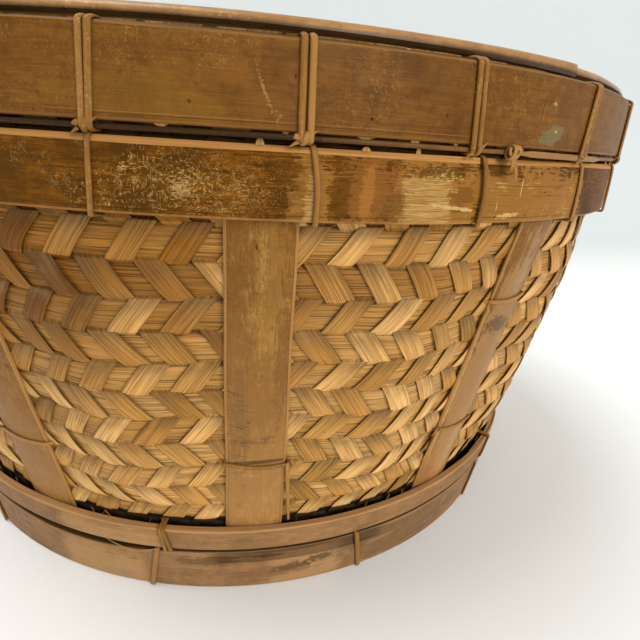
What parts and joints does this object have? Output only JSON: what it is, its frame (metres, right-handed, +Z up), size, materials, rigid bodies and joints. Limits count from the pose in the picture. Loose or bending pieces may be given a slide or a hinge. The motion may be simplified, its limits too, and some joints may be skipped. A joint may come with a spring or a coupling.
{
  "type": "splint basket",
  "caption": "Round open splint basket: flared diagonal-woven wall and floor, bamboo staves, lashed double rim bands with a cap strip, and a hooped foot ring.",
  "frame": {"origin": "Middle of the ground ring, on the plane the basket stands on.", "axes": "+Z up. -Y points out through the first stave, the one nearest the picture's camera. +X is to that camera's right."},
  "size_m": [0.6288, 0.6288, 0.3299],
  "materials": {
    "splint_weave": "dry split bamboo, matt",
    "stave_bamboo": "aged bamboo skin, satin",
    "upper_band_bamboo": "aged bamboo skin, satin",
    "lower_band_bamboo": "aged bamboo skin, satin",
    "inner_band_bamboo": "aged bamboo skin, satin",
    "rim_strip_bamboo": "rubbed bamboo, satin",
    "foot_hoop_bamboo": "worn bamboo, matt",
    "floor_slat_bamboo": "worn bamboo, matt",
    "cane": "dry split cane, satin"
  },
  "bodies": {
    "root": {"floor_slat_1": "floor_slat_bamboo", "floor_slat_2": "floor_slat_bamboo", "floor_slat_3": "floor_slat_bamboo", "floor_slat_4": "floor_slat_bamboo", "foot_lacing": "cane", "inner_lower_band": "inner_band_bamboo", "inner_rim_lacing": "cane", "inner_upper_band": "inner_band_bamboo", "lacing_knot": "cane", "lower_foot_hoop": "foot_hoop_bamboo", "lower_rim_band": "lower_band_bamboo", "node_tie_02": "cane", "node_tie_04": "cane", "node_tie_06": "cane", "node_tie_08": "cane", "node_tie_10": "cane", "node_tie_12": "cane", "rim_lacing": "cane", "rim_strip": "rim_strip_bamboo", "stave_01": "stave_bamboo", "stave_02": "stave_bamboo", "stave_03": "stave_bamboo", "stave_04": "stave_bamboo", "stave_05": "stave_bamboo", "stave_06": "stave_bamboo", "stave_07": "stave_bamboo", "stave_08": "stave_bamboo", "stave_09": "stave_bamboo", "stave_10": "stave_bamboo", "stave_11": "stave_bamboo", "stave_12": "stave_bamboo", "stave_tie_01": "cane", "stave_tie_02": "cane", "stave_tie_03": "cane", "stave_tie_04": "cane", "stave_tie_05": "cane", "stave_tie_06": "cane", "stave_tie_07": "cane", "stave_tie_08": "cane", "stave_tie_09": "cane", "stave_tie_10": "cane", "stave_tie_11": "cane", "stave_tie_12": "cane", "upper_foot_hoop": "foot_hoop_bamboo", "upper_rim_band": "upper_band_bamboo", "woven_floor": "splint_weave", "woven_wall": "splint_weave"}
  },
  "joints": []
}
